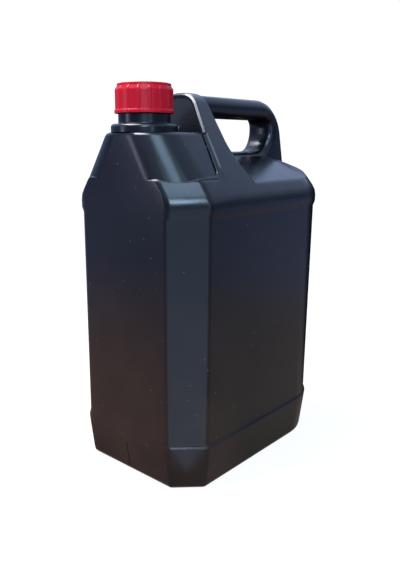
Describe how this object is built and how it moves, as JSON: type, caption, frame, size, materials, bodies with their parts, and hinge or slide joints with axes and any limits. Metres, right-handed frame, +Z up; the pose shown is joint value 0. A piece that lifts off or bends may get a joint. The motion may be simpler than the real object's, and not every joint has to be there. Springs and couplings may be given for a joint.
{
  "type": "plastic jerrycan",
  "caption": "Upright blow-moulded jerrycan with a hollow top handle, an offset threaded neck and a ribbed screw cap that unscrews and lifts off.",
  "frame": {"origin": "centre of the base outline, on the surface the can stands on", "axes": "+Z up along the can's height, +X from the neck end to the rear end, +Y across the two wide walls"},
  "size_m": [0.19, 0.13, 0.2902],
  "materials": {
    "bottle_plastic": "satin black blow-moulded polyethylene",
    "cap_plastic": "satin red injection-moulded polyethylene",
    "liner_foam": "matt white foam liner"
  },
  "bodies": {
    "bottle": {"bottle": "bottle_plastic", "handle": "bottle_plastic", "neck": "bottle_plastic"},
    "liner": {"cap_liner": "liner_foam"},
    "cap": {"screw_cap": "cap_plastic"}
  },
  "joints": [
    {"name": "cap_lift", "type": "slide", "parent": "bottle", "child": "liner", "axis": [0, 0, 1], "range_m": [0, 0.018]},
    {"name": "cap_turn", "type": "hinge", "parent": "liner", "child": "cap", "pos_m": [-0.0712, 0, 0.28], "axis": [0, 0, 1], "range_deg": [0, 1440]}
  ],
  "couplings": [
    {"joint": "cap_lift", "follows": "cap_turn", "m_per_rad": 0.0007162}
  ]
}
